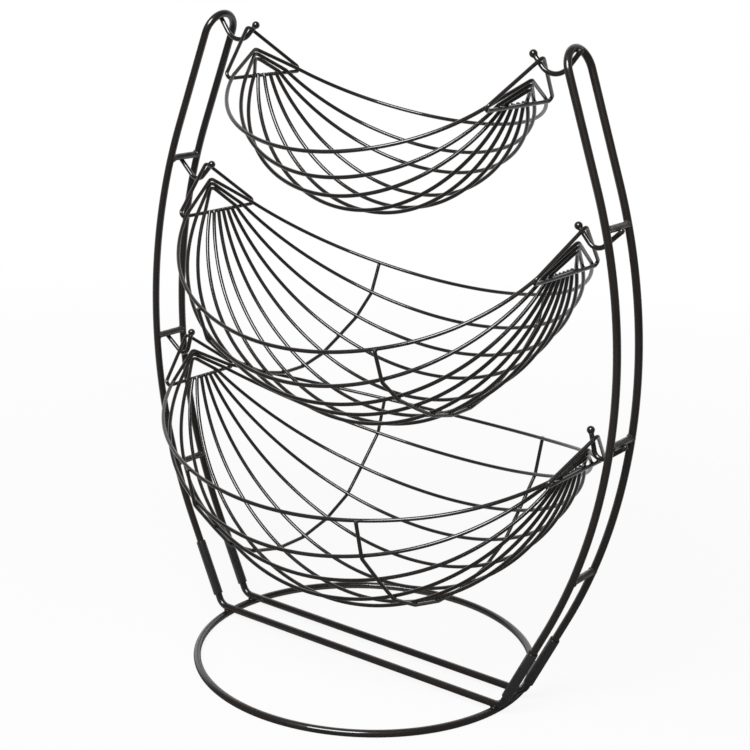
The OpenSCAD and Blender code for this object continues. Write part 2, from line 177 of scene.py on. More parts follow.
class HalfWire:
    """The front or rear half of a basket wire: a plane curve from its crossing over the end bar to the basket's middle.

    In its plane, tilted about X, it has a straight end, a side arc and half of the belly arc. Distances x are from
    the basket's middle, depths are below the crossing. Two conditions give the radii R of the belly arc and r of
    the side arc: R sin(b) + r (sin(s) - sin(b)) = x and R (1 - cos(b)) + r (cos(b) - cos(s)) = depth, where b is the
    belly arc's half angle and s the steepness at the end.
    """

    def __init__(self, basket, y, tilt, depth, steep):
        self.y = y
        self.tilt = tilt
        self.depth = depth
        self.steep = steep
        self.slope = np.arctan2(np.cos(tilt) * np.sin(steep), np.cos(steep))
        over = np.array([-np.sin(self.slope), 0, np.cos(self.slope)])
        along = np.array([np.cos(self.slope), 0, np.sin(self.slope)])
        bar = np.array([basket.bar_x, 0, basket.bar_z])
        self.over = over
        self.crossing = bar + CONTACT * over + BAR_LEAD * along + [0, y, 0]
        terms = [
            [np.sin(BELLY_ANGLE), np.sin(steep) - np.sin(BELLY_ANGLE)],
            [1 - np.cos(BELLY_ANGLE), np.cos(BELLY_ANGLE) - np.cos(steep)],
        ]
        ends = [self.crossing[0] - END_RUN * np.cos(steep), depth - END_RUN * np.sin(steep)]
        self.belly_radius, self.side_radius = np.linalg.solve(terms, ends)

    def in_space(self, x, depth, side):
        """Point of the plane at x and depth: y = side (y0 + depth sin(tilt)), z = z0 - depth cos(tilt)."""
        return np.array([
            x,
            side * (self.y + depth * np.sin(self.tilt)),
            self.crossing[2] - depth * np.cos(self.tilt),
        ])

    def corners(self, side):
        """Crossing, the two arcs' tangent corners and their mirror images, from right to left."""
        run = END_RUN + self.side_radius * np.tan((self.steep - BELLY_ANGLE) / 2)
        start = self.in_space(self.crossing[0], 0, side)
        flank = self.in_space(self.crossing[0] - run * np.cos(self.steep), run * np.sin(self.steep), side)
        belly = self.in_space(0, self.depth + self.belly_radius * (1 / np.cos(BELLY_ANGLE) - 1), side)
        return [start, flank, belly, flipped_x(flank), flipped_x(start)]

    def bends(self):
        """Bend radii at the corners, the arcs a little tighter than their tangents ask."""
        flank = self.side_radius - ARC_EASE
        return [CROSSING_BEND, flank, self.belly_radius - ARC_EASE, flank, CROSSING_BEND]

    def at(self, x):
        """Depth and slope of the curve at x, on the belly circle or the side circle."""
        radius = self.belly_radius - ARC_EASE
        centre_x = 0
        centre_depth = self.depth + self.belly_radius * (1 / np.cos(BELLY_ANGLE) - 1) - radius / np.cos(BELLY_ANGLE)
        if x > radius * np.sin(BELLY_ANGLE):
            radius = self.side_radius - ARC_EASE
            run = END_RUN + ARC_EASE * np.tan((self.steep - BELLY_ANGLE) / 2)
            centre_x = self.crossing[0] - run * np.cos(self.steep) - radius * np.sin(self.steep)
            centre_depth = run * np.sin(self.steep) - radius * np.cos(self.steep)
        height = np.sqrt(radius ** 2 - (x - centre_x) ** 2)
        return centre_depth + height, (x - centre_x) / height


class Basket:
    """A hammock of wires between two end bars: three nested loops, ribs through the bottom and two cross wires."""

    def __init__(self, name, bar_inset, bail_drop, bar_past_rim, peak_rise, peak_lean, feet, out, sag, steep, ribs,
                 pitch, fan, rib_depth, rib_gain, rib_steep, cross_x=None):
        self.name = name
        self.hook = HOOKS[name]
        self.bar_x = self.hook.seat[0] - bar_inset * mm
        self.bar_z = self.hook.seat[2] - bail_drop * mm
        self.peak_rise = peak_rise * mm
        self.peak_lean = np.radians(peak_lean)
        self.centre = np.array([0, 0, self.bar_z])
        self.bar_end = (feet[0] + bar_past_rim) * mm
        self.cross_x = None if cross_x is None else cross_x * mm
        self.loops = [
            HalfWire(self, y * mm, np.arctan2(reach - y, drop), np.hypot(reach - y, drop) * mm, np.radians(rise))
            for y, reach, drop, rise in zip(feet, out, sag, steep)
        ]
        numbers = np.arange(ribs) + 0.5
        self.ribs = [
            HalfWire(self, k * pitch * mm, np.radians(k * fan), (rib_depth + rib_gain * (0.25 - k * k)) * mm,
                     np.radians(rib_steep))
            for k in numbers
        ]

    def peak(self, number):
        """Peak of a loop: the peaks stack below the rim's, on a point that leans outwards."""
        x, _, z = self.loops[0].crossing
        drop = number * (BASKET_WIRE + PEAK_SPACE)
        return np.array([x + self.peak_rise * np.tan(self.peak_lean), 0, z + self.peak_rise - drop])

    def loop_line(self, number):
        """Closed line of a loop: right peak, front half, left peak and rear half."""
        wire = self.loops[number]
        peak = self.peak(number)
        corners = [peak, *wire.corners(FRONT), flipped_x(peak), *wire.corners(REAR)[::-1]]
        return bent_line(corners, [PEAK_BEND, *wire.bends()] * 2, closed=True)

    def rib_line(self, number, side):
        """Line of a rib from bar to bar."""
        wire = self.ribs[number]
        return bent_line(wire.corners(side), wire.bends())

    def bail_line(self, side):
        """Closed triangle of the bail: a narrow round top over the hook and two corners on the end bar.

        The top bend clears the hook over the whole swing: it is the clearance between wires divided by how squarely
        the hook's tip passes through the bail's plane when the basket has swung.
        """
        bar = np.array([self.bar_x, 0, self.bar_z])
        rise = self.hook.seat - bar
        up = unit(rise)
        swung = np.array([up[2], -up[0] * np.sin(SWING), -up[0] * np.cos(SWING)])
        gap = (HOOK_WIRE + BASKET_WIRE) / 2 + SEAT_CLEARANCE
        above = max(BAIL_TOP_BEND, gap / abs(swung @ self.hook.tip_up))
        top = np.linalg.norm(rise) + above - BAIL_TOP_BEND
        across = np.array([-self.bar_end, top - BAIL_CORNER_BEND])
        angle = np.arctan2(across[1], across[0]) - np.arccos((BAIL_CORNER_BEND - BAIL_TOP_BEND) / np.hypot(*across))
        reach = self.bar_end * np.cos(angle) + BAIL_CORNER_BEND * np.sin(angle) + BAIL_CORNER_BEND
        apex = bar + reach / np.sin(angle) * up
        corner = np.array([0, reach / np.cos(angle), 0])
        corners = np.array([apex, bar - corner, bar + corner]) * [side, 1, 1]
        return bent_line(corners, [BAIL_TOP_BEND, BAIL_CORNER_BEND, BAIL_CORNER_BEND], closed=True)

    def section(self):
        """Wires met by the rear half of a cross wire, from the rim inwards, and where it meets them."""
        wires = self.loops + self.ribs[::-1]
        places = np.array([w.in_space(self.cross_x, w.at(self.cross_x)[0], REAR) for w in wires])
        return wires, places

    def cross_seats(self):
        """Centres of the cross wire under each basket wire of the rear half, and the outward directions there."""
        wires, places = self.section()
        ways = unit(np.diff(np.vstack([places, flipped_y(places[-1])]), axis=0))
        ways[1:] = unit(ways[1:] + ways[:-1])
        seats = []
        outwards = []
        for wire, place, way in zip(wires, places, ways):
            outward = np.array([0, -way[2], way[1]])
            down = np.array([0, np.sin(wire.tilt), -np.cos(wire.tilt)])
            outward = outward * np.sign(outward @ down)
            lean = wire.at(self.cross_x)[1] * (down @ outward)
            seats.append(place + CONTACT * np.sqrt(1 + lean * lean) * outward)
            outwards.append(outward)
        return np.array(seats), np.array(outwards), places

    def cross_line(self, side):
        """Line of a cross wire from rim to rim under the basket."""
        seats = self.cross_seats()[0]
        tip = seats[0] + CROSS_LEAD * unit(seats[0] - seats[1])
        half = np.vstack([tip, seats[1:]])
        corners = np.vstack([half, flipped_y(half[::-1])]) * [side, 1, 1]
        return bent_line(corners, [CROSS_BEND] * len(corners))


def bent_line(corners, radii, closed=False):
    """Points along a wire bent at its corners.

    Where the way turns from u to w by an angle T on radius r, the arc is start + r (sin(a) u + (1 - cos(a)) n) for a
    from 0 to T. start is r tan(T / 2) before the corner, and n is the unit part of w across u. Straights between arcs
    get evenly spaced points.
    """
    corners = np.asarray(corners, float)
    count = len(corners)
    stretches = []
    for i in range(count):
        corner = corners[i]
        if not closed and i in (0, count - 1):
            stretches.append(corner[None])
            continue
        u = unit(corner - corners[i - 1])
        w = unit(corners[(i + 1) % count] - corner)
        turn = np.arccos(np.clip(u @ w, -1, 1))
        steps = int(np.ceil(max(2, turn / ARC_STEP, turn * radii[i] / LONGEST_STEP)))
        a = np.linspace(0, turn, steps + 1)[:, None]
        start = corner - radii[i] * np.tan(turn / 2) * u
        stretches.append(start + radii[i] * (np.sin(a) * u + (1 - np.cos(a)) * unit(w - (w @ u) * u)))
    line = []
    for i, stretch in enumerate(stretches):
        line.append(stretch)
        if closed or i < count - 1:
            here = stretch[-1]
            there = stretches[(i + 1) % count][0]
            steps = int(np.ceil(np.linalg.norm(there - here) / LONGEST_STEP))
            line.append(here + (there - here) * (np.arange(1, steps) / max(steps, 1))[:, None])
    return np.vstack(line)


def lumps(place, size, height):
    """Uneven height over a surface: height times the mean of three sine products of the place at the given size."""
    x, y, z = np.moveaxis(np.asarray(place) / size, -1, 0)
    first = np.sin(1.7 * x + 2.1 * z) * np.cos(1.3 * y - 0.7 * z)
    second = np.sin(3.1 * y + 1.1 * x + 1.9) * np.cos(2.7 * z - 0.4)
    third = np.sin(4.3 * z - 2.3 * y + 0.8) * np.cos(3.7 * x + 2.6)
    return height * (first + second + third) / 3


def add_mesh(name, points, quads, triangles=()):
    """A smooth mesh object from an array of points and arrays of faces."""
    mesh = bpy.data.meshes.new(name)
    mesh.from_pydata(points.tolist(), [], [*np.asarray(quads).tolist(), *np.asarray(triangles).tolist()])
    mesh.shade_smooth()
    mesh.validate()
    piece = bpy.data.objects.new(name, mesh)
    bpy.context.scene.collection.objects.link(piece)
    return piece


def grid_faces(rings, around, closed):
    """Four-sided faces between neighbouring rings; ring i holds points i * around to (i + 1) * around - 1."""
    i = np.arange(rings if closed else rings - 1)[:, None]
    k = np.arange(around)[None]
    here = i * around
    there = (i + 1) % rings * around
    after = (k + 1) % around
    return np.stack([here + k, here + after, there + after, there + k], axis=-1).reshape(-1, 4)


def sweep(line, radii, towards, closed=False):
    """Points and faces of a round section carried along a line.

    Point (i, k) is line[i] + radii[i, k] (cos(a) side + sin(a) up) with a = 2 pi k / AROUND. side lies across the way
    and the direction to the point towards; up lies across both. An open sweep is closed by a point at each end.
    """
    line = np.asarray(line, float)
    count = len(line)
    if closed:
        way = unit(np.roll(line, -1, axis=0) - np.roll(line, 1, axis=0))
    else:
        way = unit(np.gradient(line, axis=0))
    side = unit(np.cross(way, np.asarray(towards) - line))
    up = np.cross(way, side)
    a = np.arange(AROUND) * 2 * np.pi / AROUND
    radii = np.broadcast_to(np.asarray(radii, float).reshape(count, -1), (count, AROUND))[..., None]
    rings = line[:, None] + radii * (np.cos(a)[None, :, None] * side[:, None] + np.sin(a)[None, :, None] * up[:, None])
    points = rings.reshape(-1, 3)
    quads = grid_faces(count, AROUND, closed)
    if closed:
        return points, quads, np.zeros((0, 3), int)
    k = np.arange(AROUND)
    after = (k + 1) % AROUND
    first = len(points)
    last = (count - 1) * AROUND
    start_fan = np.stack([np.full(AROUND, first), after, k], axis=-1)
    end_fan = np.stack([np.full(AROUND, first + 1), last + k, last + after], axis=-1)
    return np.vstack([points, line[:1], line[-1:]]), quads, np.vstack([start_fan, end_fan])


def cut_ends(line, radius):
    """Line and radii of an open wire whose cut ends the coating has rounded.

    Over the last CUT_EDGE of length e the radius is r - e (1 - sin(b)) at a distance e (1 - cos(b)) from the end.
    """
    b = np.linspace(0, np.pi / 2, 5)
    inset = CUT_EDGE * (1 - np.cos(b))[:, None]
    shrink = radius - CUT_EDGE * (1 - np.sin(b))
    first = line[0] + inset * unit(line[1] - line[0])
    last = line[-1] + inset[::-1] * unit(line[-2] - line[-1])
    whole = np.vstack([first, line[1:-1], last])
    return whole, np.concatenate([shrink, np.full(len(line) - 2, radius), shrink[::-1]])


def joined(parts):
    """Several sets of points and faces as one."""
    starts = np.cumsum([0] + [len(points) for points, _, _ in parts[:-1]])
    points = np.vstack([p for p, _, _ in parts])
    quads = np.vstack([q + s for (_, q, _), s in zip(parts, starts)])
    triangles = np.vstack([t + s for (_, _, t), s in zip(parts, starts)])
    return points, quads, triangles


def open_wire(line, diameter, towards):
    """An open wire with rounded cut ends."""
    return sweep(*cut_ends(line, diameter / 2), towards)


def closed_wire(line, diameter, towards):
    """A closed loop of wire."""
    return sweep(line, np.full(len(line), diameter / 2), towards, closed=True)


def sleeve_tube(x_side, y_side):
    """A sleeve: a closed profile of radius and height turned about the sleeve's leaning axis.

    The rims are half circles as wide as the wall. The lower half of the bore fits the base wire and the upper half
    is wider by the slip clearance.
    """
    outer = STAND_WIRE / 2 + SLIP + SLEEVE_WALL
    bore = STAND_WIRE / 2 + SLIP
    grip = SLEEVE_LENGTH - LEG_INSERT
    b = np.linspace(0, np.pi / 2, 5)
    edge = 0.35 * mm
    top_out = np.stack([outer - edge + edge * np.cos(b), SLEEVE_LENGTH - edge + edge * np.sin(b)], axis=-1)
    top_in = np.stack([bore + edge - edge * np.sin(b), SLEEVE_LENGTH - edge + edge * np.cos(b)], axis=-1)
    step = np.array([[bore, grip], [STAND_WIRE / 2, grip - SLIP]])
    low_in = np.array([[STAND_WIRE / 2, edge]])
    low_out = np.stack([outer - edge + edge * np.sin(b), edge - edge * np.cos(b)], axis=-1)
    low_mid = np.array([[STAND_WIRE / 2 + edge, 0]])
    profile = np.vstack([low_out, top_out, top_in, step, low_in, low_mid])
    a = np.arange(AROUND * 2) * np.pi / AROUND
    axis = Stand.leg_up * [x_side, 1, 1]
    side = np.array([0, 1, 0])
    across = np.cross(side, axis)
    foot = SLEEVE_FOOT * [x_side, y_side, 1]
    radial = np.cos(a)[None, :, None] * side + np.sin(a)[None, :, None] * across
    points = foot + profile[:, 1, None, None] * axis + profile[:, 0, None, None] * radial
    quads = grid_faces(len(profile), AROUND * 2, closed=True)[:, ::-1]
    return points.reshape(-1, 3), quads, np.zeros((0, 3), int)


def tip_ball(hook, x_side):
    """A ball on a hook's tip, with a small fillet of coating where the hook wire enters it.

    Along the tip's axis the radius is sqrt(R^2 - s^2) at a distance s from the ball's centre. Towards the wire it
    is never less than the wire's radius and a fillet that fades out as exp(-distance / 0.3 mm) from the ball's skin.
    """
    radius = BALL / 2
    skin = np.sqrt(radius ** 2 - (HOOK_WIRE / 2) ** 2)
    s = np.concatenate([radius * np.cos(np.linspace(0, 2.5, 20)[1:]), -skin - np.array([0, 0.3, 0.6, 1.0]) * mm])
    ball = np.sqrt(np.maximum(radius ** 2 - s ** 2, 0))
    fillet = HOOK_WIRE / 2 + 0.28 * mm * np.exp(np.minimum(s + skin, 0) / (0.3 * mm)) - 0.02 * mm
    radii = np.where(s < -radius * 0.5, np.maximum(ball, fillet), ball)
    line = (hook.ball + s[:, None] * hook.tip_up) * [x_side, 1, 1]
    return sweep(line, radii, line[0] + [0, 1, 0])


def weld_beads(places, normals, ways, sizes, height):
    """Weld nuggets: flattened balls with an uneven skin, one at each place.

    A point in direction d of the unit ball goes to place + size (d.way, d.across, d.normal) times 1 + lumps.
    """
    places = np.asarray(places, float)
    normals = unit(normals)
    ways = unit(ways - np.sum(ways * normals, axis=-1, keepdims=True) * normals)
    acrosses = np.cross(normals, ways)
    sizes = np.broadcast_to(sizes, places.shape)
    rows = 13
    around = 20
    b = (np.arange(rows) + 0.5) * np.pi / rows
    a = np.arange(around) * 2 * np.pi / around
    ball = np.stack([
        np.sin(b)[:, None] * np.cos(a),
        np.sin(b)[:, None] * np.sin(a),
        np.cos(b)[:, None] * np.ones(around),
    ], axis=-1).reshape(-1, 3)
    ball = np.vstack([ball, [0, 0, 1], [0, 0, -1]])
    axes = np.stack([ways, acrosses, normals], axis=1)
    skin = np.einsum("pk,nk,nkj->npj", ball, sizes, axes)
    swell = 1 + lumps(places[:, None] + skin, 0.6 * mm, height)[..., None]
    points = places[:, None] + skin * swell
    count = len(ball)
    starts = (np.arange(len(places)) * count)[:, None, None]
    quads = (grid_faces(rows, around, closed=False)[:, ::-1][None] + starts).reshape(-1, 4)
    k = np.arange(around)
    after = (k + 1) % around
    low = (rows - 1) * around
    top_fan = np.stack([np.full(around, count - 2), k, after], axis=-1)
    low_fan = np.stack([np.full(around, count - 1), low + after, low + k], axis=-1)
    fans = (np.vstack([top_fan, low_fan])[None] + starts).reshape(-1, 3)
    return points.reshape(-1, 3), quads, fans


def leg_reach(x):
    """Distance along a rung from its middle to the leg's skin, at a distance x beside the rung's line."""
    return LEG_GAP / 2 - np.sqrt(np.maximum((STAND_WIRE / 2) ** 2 - x ** 2, 0))


def rung_collar(z, x_side, y_side):
    """Lumpy fillet of weld round a rung's end, from just inside the leg's skin outwards along the rung.

    At a distance s from the leg the radius is the rung's and height (1 - s / length)^2, with lumps on it. The rings
    near the leg are drawn out along the rung to follow the leg's round skin.
    """
    length = 2.2 * mm
    height = 0.4 * mm
    s = np.linspace(-0.4 * mm, length, 18)
    share = np.clip(1 - s / length, 0, 1) ** 2
    middle = Stand.rung_centre(z) * [x_side, 1, 1]
    line = middle + (leg_reach(0) - s)[:, None] * [0, y_side, 0]
    points, quads, fans = sweep(line, RUNG_WIRE / 2 + height * share, line[0] + [0, 0, 1])
    rings = points[:-2].reshape(len(s), AROUND, 3)
    radial = unit(rings - line[:, None])
    rings = rings + (lumps(rings, 0.9 * mm, 0.4 * mm) * np.clip(share[:, None] * 2, 0.25, 1))[..., None] * radial
    rings[..., 1] += y_side * share[:, None] * (leg_reach(rings[..., 0] - middle[0]) - leg_reach(0))
    return np.vstack([rings.reshape(-1, 3), points[-2:]]), quads, fans


BASKETS = [
    Basket("top", 15.8, 31.8, 1.5, 16.9, 34, [39, 24, 15], [109, 87.5, 76], [37, 58, 73], [68.5, 72.5, 76.5],
           2, 7, 14.5, 94.5, 0, 74),
    Basket("middle", 12.1, 32.7, 1, 23.1, 24, [40, 27.5, 19], [128.5, 118.5, 95], [62, 90.5, 110], [70, 75.5, 78.5],
           3, 5.3, 9.5, 145.8, 1.6, 78.5, 84),
    Basket("lower", 13.9, 27.4, 2.5, 18.4, 29.5, [35.5, 27.5, 18], [141.5, 132.5, 106.5], [35, 69, 97.5], [65, 70, 74],
           3, 5.2, 12.4, 147.2, 1, 74, 82.5),
]


class Socket:
    """An output of a tree's nodes. Arithmetic on it adds Math nodes."""

    def __init__(self, finish, link):
        self.finish = finish
        self.link = link

    def maths(self, operation, a, b):
        return self.finish.node("ShaderNodeMath", {"operation": operation}, {0: a, 1: b})

    def __add__(self, other):
        return self.maths("ADD", self, other)

    def __sub__(self, other):
        return self.maths("SUBTRACT", self, other)

    def __rsub__(self, other):
        return self.maths("SUBTRACT", other, self)

    def __mul__(self, other):
        return self.maths("MULTIPLY", self, other)

    def __pow__(self, other):
        return self.maths("POWER", self, other)

    __radd__ = __add__
    __rmul__ = __mul__


class Tree:
    """The nodes of a material or of the world."""

    def __init__(self, owner):
        owner.use_nodes = True
        self.tree = owner.node_tree

    def node(self, kind, settings=None, values=None, output=0):
        """Adds a node: its settings first, with a ramp's stops as (position, colour), then its sockets."""
        made = self.tree.nodes.new(kind)
        for key, value in (settings or {}).items():
            if key == "stops":
                for stop, (position, colour) in zip(made.color_ramp.elements, value):
                    stop.position = position
                    stop.color = (*colour, 1)
            else:
                setattr(made, key, value)
        for key, value in (values or {}).items():
            self.feed(made.inputs[key], value)
        return Socket(self, made.outputs[output])

    def feed(self, socket, value):
        """Links a socket to another, or sets its number or colour."""
        if isinstance(value, Socket):
            self.tree.links.new(value.link, socket)
        else:
            socket.default_value = value


class Finish(Tree):
    """A node material round one Principled shader."""

    def __init__(self, name):
        self.material = bpy.data.materials.new(name)
        super().__init__(self.material)
        self.shader = self.tree.nodes["Principled BSDF"]
        self.place = self.node("ShaderNodeTexCoord", output="Object")

    def set(self, **values):
        """Feeds the shader's sockets, named with underscores for spaces."""
        for key, value in values.items():
            self.feed(self.shader.inputs[key.replace("_", " ")], value)

    def noise(self, size, detail=2, roughness=0.5):
        """Noise with features of a size in metres, from 0 to 1."""
        return self.node(
            "ShaderNodeTexNoise",
            values={"Vector": self.place, "Scale": 1 / size, "Detail": detail, "Roughness": roughness},
        )

    def between(self, low, high, share):
        """Colour between two colours by a share."""
        return self.node(
            "ShaderNodeMix",
            {"data_type": "RGBA"},
            {"Factor": share, 6: (*low, 1), 7: (*high, 1)},
            output=2,
        )

    def bump(self, height, distance, strength):
        """Normal of a surface raised by height times a distance."""
        return self.node("ShaderNodeBump", values={"Height": height, "Distance": distance, "Strength": strength})


def coating(name, black, lifted, roughness, spread, peel, clear, skin=1.0):
    """Black baked coating on wire.

    The colour drifts between black and lifted in clouds and where dust lies on top. The roughness drifts by spread.
    Orange peel of about a millimetre and a finer grain make the bump, and clear is the weight of the glossy skin.
    """
    finish = Finish(name)
    cloud = finish.noise(28 * mm, 3, 0.55)
    smear = finish.noise(6 * mm, 2, 0.6)
    grain = finish.noise(0.35 * mm, 2, 0.6)
    dimples = finish.noise(1.3 * mm * skin, 1, 0.4)
    upward = finish.node("ShaderNodeSeparateXYZ", values={0: finish.node("ShaderNodeNewGeometry", output="Normal")},
                         output=2)
    dust = finish.node("ShaderNodeMath", {"operation": "MAXIMUM"}, {0: upward, 1: 0}) ** 3 * smear
    share = cloud * 0.6 + dust * 0.5 + grain * 0.12
    finish.set(
        Base_Color=finish.between(black, lifted, share),
        Roughness=roughness + (cloud - 0.5) * spread + (smear - 0.5) * spread * 0.7 + dust * 0.1,
        Normal=finish.bump(dimples * 0.8 + grain * 0.2, peel, 1.0),
    )
    finish.shader.inputs["Specular IOR Level"].default_value = 0.3
    finish.shader.inputs["Coat Weight"].default_value = clear
    finish.shader.inputs["Coat Roughness"].default_value = 0.04
    finish.shader.inputs["Coat IOR"].default_value = 1.7
    return finish.material


stand_coating = coating("stand_coating", (0.009, 0.0066, 0.0056), (0.022, 0.018, 0.0155), 0.34, 0.12, 0.01 * mm, 0.9)
sleeve_coating = coating("sleeve_coating", (0.012, 0.0112, 0.0112), (0.03, 0.0285, 0.0285), 0.38, 0.12, 0.016 * mm, 0.8)
rung_coating = coating("rung_coating", (0.014, 0.0115, 0.0105), (0.06, 0.051, 0.047), 0.36, 0.24, 0.22 * mm, 0.7, 0.9)
hook_coating = coating("hook_coating", (0.008, 0.0062, 0.0055), (0.02, 0.0165, 0.0145), 0.3, 0.1, 0.006 * mm, 1.0)
basket_coating = coating("basket_coating", (0.009, 0.007, 0.006), (0.022, 0.018, 0.016), 0.32, 0.12, 0.004 * mm, 1.0)
weld_coating = coating("weld_coating", (0.011, 0.009, 0.008), (0.036, 0.031, 0.028), 0.4, 0.18, 0.06 * mm, 0.5, 0.7)


def place_piece(name, shape, body, slot, finish, *nodes):
    """Adds a piece to a body with its finish, standing for the named solids."""
    piece = add_mesh(name, *shape)
    piece.data.materials.append(finish)
    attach(piece, body)
    if nodes:
        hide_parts(*nodes)
    return piece


def build_stand():
    """Base ring, base wires, sleeves, side frames, rungs, hooks and their balls."""
    a = np.arange(160) * 2 * np.pi / 160
    circle = np.stack([RING_RADIUS * np.cos(a), RING_RADIUS * np.sin(a), np.full(160, Stand.ring_z)], axis=-1)
    points, quads, fans = closed_wire(circle, STAND_WIRE, [0, 0, Stand.ring_z])
    points[:, 2] = np.maximum(points[:, 2], 0)
    place_piece("ring_wire", (points, quads, fans), "stand", "stand_coating", stand_coating, "base_ring")
    above = np.array([0, 0, 1])
    for y_side, where in ((FRONT, "front"), (REAR, "rear")):
        end = Stand.leg_foot * [1, y_side, 1]
        corner = np.array([Stand.base_corner[0], y_side * Stand.leg_y, Stand.base_z])
        line = bent_line([flipped_x(end), flipped_x(corner), corner, end], [0, BASE_BEND, BASE_BEND, 0])
        place_piece(f"foot_wire_{where}", open_wire(line, STAND_WIRE, above), "stand", "stand_coating",
                    stand_coating, f"base_wire_{where}")
    for x_side, hand in ((LEFT, "left"), (RIGHT, "right")):
        for y_side, where in ((FRONT, "front"), (REAR, "rear")):
            place_piece(f"leg_sleeve_{hand}_{where}", sleeve_tube(x_side, y_side), "stand", "sleeve_coating",
                        sleeve_coating, f"sleeve_{hand}_{where}")
        rear = np.array([Stand.leg_foot, Stand.bow_corner, Stand.crown])
        corners = np.vstack([flipped_y(rear), rear[::-1]]) * [x_side, 1, 1]
        line = bent_line(corners, [0, BOW_RADIUS, CROWN_BEND, CROWN_BEND, BOW_RADIUS, 0])
        middle = np.array([0, 0, Stand.bow_centre[2]])
        place_piece(f"legs_{hand}", open_wire(line, STAND_WIRE, middle), "stand", "stand_coating", stand_coating,
                    f"side_frame_{hand}")
        for level, z in RUNG_HEIGHTS.items():
            s = np.linspace(-1, 1, 31)[:, None]
            line = Stand.rung_centre(z) * [x_side, 1, 1] + s * [0, LEG_GAP / 2 - 1 * mm, 0]
            rough = RUNG_WIRE / 2 + lumps(line, 4 * mm, 0.08 * mm)
            rung = joined([sweep(line, rough, line[0] + [0, 0, 1]), rung_collar(z, x_side, FRONT),
                           rung_collar(z, x_side, REAR)])
            place_piece(f"cross_rung_{level}_{hand}", rung, "stand", "rung_coating", rung_coating,
                        f"rung_{level}_{hand}")
        for name, hook in HOOKS.items():
            line = bent_line([hook.tail, hook.corner, hook.end], [0, hook.bend, 0]) * [x_side, 1, 1]
            beside = line[0] + [0, 1, 0]
            place_piece(f"hook_wire_{name}_{hand}", open_wire(line, HOOK_WIRE, beside), "stand", "hook_coating",
                        hook_coating, f"hook_{name}_{hand}")
            place_piece(f"tip_ball_{name}_{hand}", tip_ball(hook, x_side), "stand", "hook_coating", hook_coating,
                        f"ball_{name}_{hand}")


def hook_nuggets(names):
    """Places, normals, ways and sizes of the nuggets that hold the named hooks' ends, left and right."""
    places = []
    normals = []
    ways = []
    for name in names:
        hook = HOOKS[name]
        for x_side in (LEFT, RIGHT):
            places.append((hook.tail - 0.9 * mm * hook.out - 0.4 * mm * hook.below) * [x_side, 1, 1])
            normals.append(hook.below * [x_side, 1, 1])
            ways.append(hook.out * [x_side, 1, 1])
    sizes = np.tile([2.5 * mm, 2.4 * mm, 2.1 * mm], (len(places), 1))
    return np.array(places), np.array(normals), np.array(ways), sizes


def rung_nuggets():
    """Places, normals, ways and sizes of the weld drops round both ends of every rung, each a little different."""
    a = np.arange(RUNG_NUGGETS) * 2 * np.pi / RUNG_NUGGETS
    radius = RUNG_WIRE / 2
    places = []
    normals = []
    ways = []
    for z in RUNG_HEIGHTS.values():
        for x_side in (LEFT, RIGHT):
            for y_side in (FRONT, REAR):
                turn = a + 90 * z + x_side + 2 * y_side
                radial = np.stack([np.cos(turn), np.zeros(RUNG_NUGGETS), np.sin(turn)], axis=-1)
                reach = leg_reach(radius * radial[:, 0]) - 0.2 * mm
                middle = Stand.rung_centre(z) * [x_side, 1, 1]
                places.append(middle + radius * radial + reach[:, None] * [0, y_side, 0])
                normals.append(radial - [0, y_side, 0])
                ways.append(np.cross(radial, [0, 1, 0]))
    places = np.vstack(places)
    swell = 1 + lumps(places, 1.1 * mm, 0.6)[:, None]
    return places, np.vstack(normals), np.vstack(ways), swell * [1.4 * mm, 1.1 * mm, 0.5 * mm]


def ring_beads():
    """Places, normals, ways and sizes of the beads where the base wires cross the ring."""
    cross_x = np.sqrt(RING_RADIUS ** 2 - Stand.leg_y ** 2)
    places = np.array([
        [x_side * cross_x, y_side * Stand.leg_y, Stand.ring_z + STAND_WIRE / 2]
        for x_side in (LEFT, RIGHT) for y_side in (FRONT, REAR)
    ])
    count = len(places)
    return (places, np.tile([0, 0, 1.0], (count, 1)), np.tile([1.0, 0, 0], (count, 1)),
            np.tile([2.9 * mm, 3.1 * mm, 1.3 * mm], (count, 1)))


def build_stand_welds():
    """Welds of the stand: smooth under the coating at the ring and the crowns, rough at the rungs."""
    smooth = [np.vstack(pair) for pair in zip(ring_beads(), hook_nuggets(["top"]))]
    place_piece("stand_weld_beads", weld_beads(*smooth, 0.25), "stand", "stand_coating", weld_coating)
    rough = [np.vstack(pair) for pair in zip(rung_nuggets(), hook_nuggets(["middle", "lower"]))]
    place_piece("rung_weld_beads", weld_beads(*rough, 0.25), "stand", "rung_coating", rung_coating)


def build_basket(basket):
    """Bails, loops, ribs, cross wires and weld beads of one basket."""
    body = f"{basket.name}_basket"

    def place(name, shape, node):
        place_piece(f"{basket.name}_{name}", shape, body, "basket_coating", basket_coating,
                    f"{basket.name}_{node}")

    for x_side, hand in ((LEFT, "left"), (RIGHT, "right")):
        line = basket.bail_line(x_side)
        place(f"bail_wire_{hand}", closed_wire(line, BASKET_WIRE, line.mean(axis=0)), f"bail_{hand}")
    for number, name in enumerate(("rim", "second_loop", "third_loop")):
        place(f"{name}_wire", closed_wire(basket.loop_line(number), BASKET_WIRE, basket.centre), name)
    ribs = [
        open_wire(basket.rib_line(number, side), BASKET_WIRE, basket.centre)
        for number in range(len(basket.ribs)) for side in (FRONT, REAR)
    ]
    place("rib_wires", joined(ribs), "ribs_set")
    if basket.cross_x is not None:
        wires = [open_wire(basket.cross_line(side), BASKET_WIRE, basket.centre) for side in (LEFT, RIGHT)]
        place("cross_wire_pair", joined(wires), "cross_wires")
    places, normals, ways = basket_weld_places(basket)
    beads = weld_beads(places, normals, ways, [1.45 * mm, 1.5 * mm, 0.8 * mm], 0.3)
    place_piece(f"{basket.name}_weld_beads", beads, body, "basket_coating", weld_coating)


